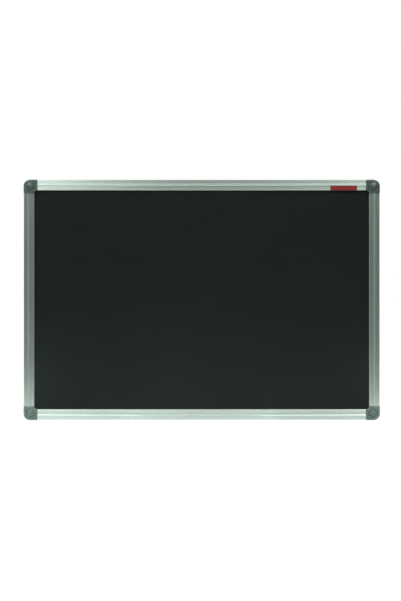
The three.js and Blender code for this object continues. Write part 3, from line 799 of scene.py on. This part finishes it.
def corner_moulding():
    """The top left moulding, with its virtual corner at the drawing's origin."""
    wall_ring = corner_ring(CORNER_WALL, lambda fall: -PAST)
    cavity = skinned("cavity", [wall_ring, [(x, y, CAVITY_FRONT) for x, y, depth in wall_ring]])
    past = CORNER_LEG + PAST
    panel_space = block("panel_space", (CHAMBER_REACH, -past, -PAST), (past, -CHAMBER_REACH, CHANNEL_FRONT))
    shell = combined(corner_outside(), [cavity, panel_space], "DIFFERENCE")

    floor = CHAMBER_REACH - RAIL_WALL
    wall_front = CAVITY_FRONT + RAIL_WALL / 2
    walls = both_legs(
        lambda: block("leg_wall", (floor, -CHAMBER_REACH, 0), (CORNER_LEG, -floor, wall_front))
    )
    half = RIB_THICKNESS / 2
    straight = SCREW_INSET + CORNER_PROUD - CORNER_WALL / 2
    diagonal = (SCREW_INSET + CORNER_PROUD - CORNER_RADIUS) * math.sqrt(2) + CORNER_RADIUS - CORNER_WALL / 2
    ribs = []
    for length, turn in ((straight, 0), (straight, -1), (diagonal, -0.5)):
        rib = block("rib", (-length, -half, RIB_BACK), (0, half, CAVITY_FRONT + RIB_SINK))
        ribs.append(moved(rib, SCREW_INSET, -SCREW_INSET, turn * QUARTER_TURN))

    def at_screw(mesh):
        return moved(mesh, SCREW_INSET, -SCREW_INSET)

    middle = (CAVITY_FRONT + CORNER_FRONT) / 2
    collar = eased([
        (0, middle, 0),
        (COLLAR_RADIUS, middle, 0),
        (COLLAR_RADIUS, CORNER_FRONT, 0),
        (COLLAR_RADIUS - COLLAR_SLOPE, COLLAR_FRONT, COLLAR_ROUND),
        (0, COLLAR_FRONT, 0),
    ], closed=False)
    solids = [*walls, *ribs, *both_legs(tongue)]
    solids.append(at_screw(bore("boss", BOSS_RADIUS, 0, middle)))
    solids.append(at_screw(bore("pad", PAD_RADIUS, PAD_BACK, middle + PAD_SINK)))
    solids.append(at_screw(turned("collar", collar)))
    body = combined(shell, solids, "UNION")

    mouth_centre = (RECESS_RADIUS + MOUTH_RADIUS, COLLAR_FRONT - MOUTH_RADIUS)
    mouth = arc(mouth_centre, MOUTH_RADIUS, math.pi, QUARTER_TURN, 5)
    recess = [(0, RECESS_FLOOR), (RECESS_RADIUS, RECESS_FLOOR), *mouth]
    recess.extend([(RECESS_RADIUS + MOUTH_RADIUS + 0.1, CAP_CREST), (0, CAP_CREST)])
    cuts = [
        at_screw(bore("hole", HOLE_RADIUS, -PAST, CORNER_FRONT)),
        at_screw(bore("head_bore", HEAD_BORE_RADIUS, HEAD_SEAT, CORNER_FRONT)),
        at_screw(turned("recess", recess)),
    ]
    near = RAIL_WALL + FIT_GAP + TONGUE_WALL
    far = CHAMBER_REACH - RAIL_WALL - FIT_GAP - TONGUE_WALL
    pocket_back = RAIL_WALL + FIT_GAP + TONGUE_FLOOR
    pockets = [
        (CORNER_LEG + TONGUE_WALL, SCREW_PLACE - TONGUE_BOSS / 2),
        (SCREW_PLACE + TONGUE_BOSS / 2, TONGUE_TIP - TONGUE_WALL),
    ]
    for low, high in pockets:
        cuts.extend(both_legs(lambda: block("pocket", (low, -far, pocket_back), (high, -near, BAND_DEPTH))))
    cuts.extend(both_legs(frame_hole))
    return smoothed(combined(body, cuts, "DIFFERENCE"))


def screw_cap():
    """A cap with a dome, part of a ball, on a short rim. Four slits split its skirt into prongs."""
    dome = []
    shoulder_steps = 6
    for i in range(1, shoulder_steps + 1):
        angle = SHOULDER_TURN * QUARTER_TURN * i / shoulder_steps
        inward = CAP_SHOULDER * (1 - math.cos(angle))
        dome.append((CAP_RADIUS - inward, CAP_RIM + CAP_SHOULDER / 2 * math.sin(angle), 0))
    edge, back = dome[-1][:2]
    rise = CAP_CREST - back
    radius = (edge * edge + rise * rise) / (2 * rise)
    swing = math.asin(edge / radius)
    dome_steps = 18
    for i in range(dome_steps - 1, -1, -1):
        angle = swing * i / dome_steps
        dome.append((radius * math.sin(angle), CAP_CREST - radius * (1 - math.cos(angle)), 0))
    profile = eased([
        (0, CAP_BACK, 0),
        (SKIRT_INNER, CAP_BACK, 0.4),
        (SKIRT_INNER, SKIRT_BACK, 0.2),
        (SKIRT_OUTER - SKIRT_CHAMFER, SKIRT_BACK, 0.15),
        (SKIRT_OUTER, SKIRT_BACK + SKIRT_CHAMFER, 0.15),
        (SKIRT_OUTER, CAP_BACK, SKIRT_ROOT_ROUND),
        (CAP_RADIUS, CAP_BACK, CAP_RIM_ROUND),
        (CAP_RADIUS, CAP_RIM, 0),
        *dome,
    ], closed=False)
    half = SLIT_WIDTH / 2
    wide = CAP_RADIUS + PAST
    low = (-wide, -half, SKIRT_BACK - PAST)
    high = (wide, half, CAP_BACK - SLIT_STOP)
    slits = [moved(block("slit", low, high), turn=turn * QUARTER_TURN) for turn in (0, 1)]
    return smoothed(combined(turned("screw_cap", profile), slits, "DIFFERENCE"))


CORNERS = ["top_left", "top_right", "bottom_right", "bottom_left"]


def corner_places():
    """Each corner's name, with the matrix that puts a drawing of the top left corner there."""
    for turn, name in enumerate(CORNERS):
        along, across = (BOARD_WIDTH, BOARD_HEIGHT) if turn % 2 == 0 else (BOARD_HEIGHT, BOARD_WIDTH)
        yield name, side_matrix(turn) @ Matrix.Translation((-along / 2, across / 2, 0))


def make_corners():
    moulding = corner_moulding()
    cap = screw_cap()
    cap.transform(Matrix.Translation((SCREW_INSET, -SCREW_INSET, 0)))
    for name, place in corner_places():
        body = moulding.copy()
        body.transform(place)
        finished(f"{name}_moulding", body, corner_grey, "board", "grey_plastic", f"corner_{name}")
        cover = cap.copy()
        cover.transform(place)
        finished(f"{name}_screw_cap", cover, cap_grey, f"{name}_cover", "grey_plastic", f"cap_{name}")


# Frame screws: one screw with a thread and a cross recess, set out by a node tree

def frame_screw():
    """Countersunk self-tapping screw, its head in the wall plane and its point forwards."""
    neck = SCREW_HEAD_EDGE + SCREW_HEAD_RADIUS - SCREW_SHANK_RADIUS
    point_start = SCREW_LENGTH - SCREW_POINT
    core = SCREW_SHANK_RADIUS - THREAD_DEPTH
    rows = [
        (SCREW_HEAD_RADIUS - 0.1, 0, 0),
        (SCREW_HEAD_RADIUS, 0.08, 0),
        (SCREW_HEAD_RADIUS, SCREW_HEAD_EDGE, 0),
        (SCREW_SHANK_RADIUS, neck, 0),
    ]
    depth = neck + THREAD_START
    while depth < SCREW_LENGTH - 0.1:
        share = min(1, (SCREW_LENGTH - depth) / (SCREW_LENGTH - point_start))
        rows.append((core * share, depth, THREAD_DEPTH * share))
        depth += THREAD_PITCH / ROWS_PER_TURN
    points = [(0, 0, 0), (0, 0, SCREW_LENGTH)]
    for radius, depth, ridge in rows:
        for i in range(SCREW_SIDES):
            angle = math.tau * i / SCREW_SIDES
            phase = (depth / THREAD_PITCH - i / SCREW_SIDES) % 1
            reach = radius + ridge * max(0, 1 - abs(phase - 0.5) * THREAD_SHARPNESS)
            points.append((reach * math.cos(angle), reach * math.sin(angle), depth))
    screw = round_body("frame_screw", points, SCREW_SIDES)
    rings = [
        [(-half, -width, depth), (half, -width, depth), (half, width, depth), (-half, width, depth)]
        for half, width, depth in (CROSS_MOUTH, CROSS_FOOT)
    ]
    cross = [moved(skinned("recess", rings), turn=turn * QUARTER_TURN) for turn in (0, 1)]
    return smoothed(combined(screw, cross, "DIFFERENCE"), angle=THREAD_SMOOTH_ANGLE)


def make_screw_tree():
    """Puts a screw on each point, turned about its own axis by chance, from a fixed seed."""
    inputs = [
        ("Places", "NodeSocketGeometry", None),
        ("Screw", "NodeSocketObject", None),
        ("Seed", "NodeSocketInt", 0),
        ("Finish", "NodeSocketMaterial", None),
    ]
    outputs = [("Screws", "NodeSocketGeometry")]
    tree, start, end = new_group("frame_screw_set", "GeometryNodeTree", inputs, outputs)
    screw = add(tree, "GeometryNodeObjectInfo", {"Object": start.outputs["Screw"]})
    # Input 3 is the highest value of a chance number, and output 1 is that number.
    chance = add(tree, "FunctionNodeRandomValue", {
        3: math.tau, "Seed": start.outputs["Seed"],
    }, data_type="FLOAT")
    spin = add(tree, "ShaderNodeCombineXYZ", {2: chance.outputs[1]}).outputs[0]
    placed = add(tree, "GeometryNodeInstanceOnPoints", {
        "Points": start.outputs["Places"], "Instance": screw.outputs["Geometry"], "Rotation": spin,
    })
    ended(tree, placed.outputs[0], start.outputs["Finish"], end.inputs["Screws"])
    return tree


def make_screws():
    spots = []
    nodes = []
    upright = STAND.inverted()
    for name, place in corner_places():
        for letter, x, y in (("a", SCREW_PLACE, -SCREW_REACH), ("b", SCREW_REACH, -SCREW_PLACE)):
            spots.append(upright @ place @ Vector((x, y, 0)))
            nodes.append(f"frame_screw_{name}_{letter}")
    pattern = shown("screw_pattern", frame_screw())
    mesh = run_tree("frame_screws", mesh_of("screw_places", spots, []), make_screw_tree(), {
        "Screw": pattern, "Seed": 7, "Finish": screw_zinc,
    })
    bpy.data.objects.remove(pattern)
    mesh.transform(STAND)
    finished("frame_screws", mesh, screw_zinc, "board", "screw_steel", *nodes)


# Badge

def make_badge():
    """Bare plate with rounded corners and edges, and a rib at the back that lies in the groove."""
    top = BOARD_HEIGHT / 2

    def plate_ring(inset, depth):
        low = (BADGE_LEFT + inset, top - BADGE_FAR + inset)
        high = (BADGE_RIGHT - inset, top - BADGE_NEAR - inset)
        radius = BADGE_CORNER - inset
        corners = [(*low, radius), (high[0], low[1], radius), (*high, radius), (low[0], high[1], radius)]
        return [(x, y, depth) for x, y in eased(corners, steps=8)]

    front = LIP_DEPTH + BADGE_THICKNESS
    rings = [plate_ring(BADGE_BACK_EDGE, LIP_DEPTH), plate_ring(0, LIP_DEPTH + BADGE_BACK_EDGE)]
    steps = 6
    for i in range(steps + 1):
        angle = QUARTER_TURN * i / steps
        inset = BADGE_EDGE * (1 - math.cos(angle))
        rings.append(plate_ring(inset, front - BADGE_EDGE * (1 - math.sin(angle))))
    plate = skinned("badge_plate", rings)
    rib = block(
        "badge_rib",
        (BADGE_LEFT + BADGE_RIB_INSET, top - GROOVE_END + 0.2, GROOVE_DEPTH + 0.1),
        (BADGE_RIGHT - BADGE_RIB_INSET, top - BADGE_NEAR - 0.4, LIP_DEPTH + 0.4),
    )
    mesh = smoothed(combined(plate, [rib], "UNION"))
    mesh.transform(STAND)
    finished("badge_plate", mesh, badge_red, "board", "badge_red")


make_rails()
make_corners()
make_screws()
make_badge()

for node, material in (("chalk_sheet", chalk_black), ("core_board", raw_fibre), ("back_sheet", zinc_sheet)):
    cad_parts[node].data.materials.clear()
    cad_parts[node].data.materials.append(material)


# Studio, in metres: a pale floor, a white surrounding, soft lamps, and cards seen only as reflections

FLOOR_HEIGHT = -1.2
FLOOR_HALF = 30
CAMERA_DISTANCE = 4.5
VIEW_HEIGHT = 1.5268  # how much of the wall plane the picture shows from top to foot
SENSOR = 36
AIM = (-0.0031, -0.0018)  # x and z of the point that the camera faces
ROOM_HALF = 6.0
ROOM_BACK = 3.0
ROOM_HEIGHT = 5.0
SCREEN_FACES = 24
SCREEN_START = -210  # degrees about z, from x
SCREEN_SWEEP = 240
MAT_WIDTH = (-3.5, 3.5)
MAT_DEPTH = (-5.0, -0.3)
CEILING_DIP = 0.4  # the overhead light is weaker over the middle of the board


def seen_rays(tree):
    """1 for a ray from the camera, from a mirror or through glass, and 0 for light on a surface."""
    path = add(tree, "ShaderNodeLightPath").outputs
    seen = math_node(tree, "MAXIMUM", path["Is Camera Ray"], path["Is Glossy Ray"])
    return math_node(tree, "MAXIMUM", seen, path["Is Transmission Ray"])


def make_world():
    world = bpy.data.worlds.new("studio")
    bpy.context.scene.world = world
    world.use_nodes = True
    tree = world.node_tree
    background = tree.nodes["Background"]
    background.inputs["Color"].default_value = (1, 1, 1, 1)
    # White where it is seen, and faint as a light
    strength = spread(tree, seen_rays(tree), 0.1, 1.0)
    tree.links.new(strength, background.inputs["Strength"])


def level(x_range, y_range, height):
    """Corners of a level rectangle."""
    near, far = y_range
    left, right = x_range
    return [(left, near, height), (right, near, height), (right, far, height), (left, far, height)]


def make_floor():
    corners = level((-FLOOR_HALF, FLOOR_HALF), (-FLOOR_HALF, FLOOR_HALF), FLOOR_HEIGHT)
    material, tree, shader = new_material("pale_floor", Roughness=0.9, Specular_IOR_Level=0.0)[:3]
    shader.inputs["Base Color"].default_value = (0.8, 0.8, 0.8, 1)
    shader.inputs["Emission Color"].default_value = (1, 1, 1, 1)
    # It glows only where it is seen, so it lights nothing and keeps its shadow.
    tree.links.new(spread(tree, seen_rays(tree), 0.0, 0.95), shader.inputs["Emission Strength"])
    mesh = mesh_of("floor", corners, [(0, 1, 2, 3)])
    mesh.materials.append(material)
    shown("floor", mesh)


def card(name, corners, brightness, tint=(1, 1, 1)):
    """Flat faces that only show as a reflection, at an even brightness."""
    material = bpy.data.materials.new(name)
    material.use_nodes = True
    tree = material.node_tree
    glow = add(tree, "ShaderNodeEmission", {"Color": (*tint, 1), "Strength": brightness})
    tree.links.new(glow.outputs[0], tree.nodes["Material Output"].inputs["Surface"])
    mesh = mesh_of(name, corners, [tuple(range(i, i + 4)) for i in range(0, len(corners), 4)])
    mesh.materials.append(material)
    obj = shown(name, mesh)
    obj.visible_camera = False
    obj.visible_diffuse = False
    obj.visible_transmission = False
    obj.visible_volume_scatter = False
    obj.visible_shadow = False


def make_cards():
    """A round screen and a mat before the board, a ceiling in three parts, and a card on each side."""
    low = FLOOR_HEIGHT + 0.02
    turns = [SCREEN_START + SCREEN_SWEEP * i / SCREEN_FACES for i in range(SCREEN_FACES + 1)]
    spots = [(ROOM_HALF * math.cos(t), ROOM_HALF * math.sin(t)) for t in map(math.radians, turns)]
    screen = []
    for first, second in zip(spots, spots[1:]):
        screen.extend([(*first, low), (*second, low), (*second, ROOM_HEIGHT), (*first, ROOM_HEIGHT)])
    screen.extend(level(MAT_WIDTH, MAT_DEPTH, low))
    card("grey_screen", screen, 0.118, (0.9, 1, 0.94))
    for name, x_range, brightness in (
        ("left_ceiling", (-ROOM_HALF, -CEILING_DIP), 1.61),
        ("middle_ceiling", (-CEILING_DIP, CEILING_DIP), 1.24),
        ("right_ceiling", (CEILING_DIP, ROOM_HALF), 1.63),
    ):
        card(name, level(x_range, (-ROOM_HALF, ROOM_BACK), ROOM_HEIGHT), brightness)
    for name, x, brightness, tint in (
        ("left_card", -2.5, 0.985, (0.9, 1, 0.93)),
        ("right_card", 2.5, 0.534, (0.96, 1, 0.97)),
    ):
        card(name, [(x, -1.5, -1.0), (x, 0.0, -1.0), (x, 0.0, 1.0), (x, -1.5, 1.0)], brightness, tint)


def softbox(name, place, aim, size, power, lights="all"):
    """A soft lamp that lights all, or only lights matt surfaces, or only shows as gloss.

    It faces its aim, or straight up without one.
    """
    lamp = bpy.data.lights.new(name, "AREA")
    lamp.shape = "RECTANGLE"
    lamp.size, lamp.size_y = size
    lamp.energy = power
    obj = bpy.data.objects.new(name, lamp)
    bpy.context.scene.collection.objects.link(obj)
    obj.location = place
    if aim:
        obj.rotation_euler = (Vector(aim) - Vector(place)).to_track_quat("-Z", "Y").to_euler()
    else:
        obj.rotation_euler = (math.pi, 0, 0)
    obj.visible_camera = False
    obj.visible_diffuse = lights != "gloss"
    obj.visible_glossy = lights != "matt"


def make_lamps():
    softbox("front_left", (-0.62, -1.6, 0.95), (-0.35, 0, 0.1), (0.25, 0.6), 3.25)
    softbox("front_right", (0.62, -1.6, 0.95), (0.35, 0, 0.1), (0.25, 0.6), 0.942)
    softbox("key_left", (-1.05, -0.75, 1.4), (-0.3, 0, 0), (0.3, 0.5), 10.3)
    softbox("key_right", (1.2, -0.6, 1.35), (0.3, 0, 0), (0.3, 0.5), 4)
    softbox("low_left", (-0.55, -0.66, -0.4), None, (0.7, 1.08), 3.27, "gloss")
    softbox("low_middle", (0, -0.28, -0.4), None, (0.4, 0.32), 1.02, "gloss")
    softbox("low_right", (0.55, -0.66, -0.4), None, (0.7, 1.08), 2.83, "gloss")
    softbox("under_left", (-0.31, -0.07, -0.4), None, (0.3, 0.1), 0.151, "gloss")
    softbox("under_right", (0.31, -0.07, -0.4), None, (0.3, 0.1), 0.149, "gloss")
    softbox("side_left", (-1.05, -0.45, 1.3), (-0.3, 0, 0), (0.3, 0.5), 8.33)
    softbox("side_right", (1.1, -0.42, 1.3), (0.3, 0, 0), (0.3, 0.5), 7.36)
    softbox("brow_right", (0.75, -0.3, 1.0), (0.43, 0, 0.29), (0.3, 0.3), 4, "gloss")
    softbox("end_left", (-0.62, -0.25, -0.38), (-0.44, 0, -0.29), (0.2, 0.2), 0.197, "gloss")
    softbox("end_right", (0.62, -0.25, -0.38), (0.44, 0, -0.29), (0.2, 0.2), 0.237, "gloss")
    softbox("corner_left", (-0.5, -0.14, -0.2), (-0.43, 0, -0.29), (0.12, 0.12), 0.31, "matt")
    softbox("corner_right", (0.5, -0.14, -0.2), (0.43, 0, -0.29), (0.12, 0.12), 0.227, "matt")
    softbox("low_fill", (0, -0.32, -0.38), (0, 0, -0.28), (0.6, 0.1), 1.3, "matt")
    softbox("back_light", (0.6, 1.8, 1.5), (0, 0, 0), (1.2, 1.2), 22)


def make_camera():
    camera = bpy.data.cameras.new("camera")
    camera.sensor_width = SENSOR
    camera.lens = SENSOR * CAMERA_DISTANCE / VIEW_HEIGHT
    camera.dof.use_dof = False
    obj = bpy.data.objects.new("camera", camera)
    bpy.context.scene.collection.objects.link(obj)
    obj.location = (AIM[0], -CAMERA_DISTANCE, AIM[1])
    obj.rotation_euler = (QUARTER_TURN, 0, 0)
    bpy.context.scene.camera = obj


make_world()
make_floor()
make_cards()
make_lamps()
make_camera()
bpy.context.scene.view_settings.view_transform = "Standard"
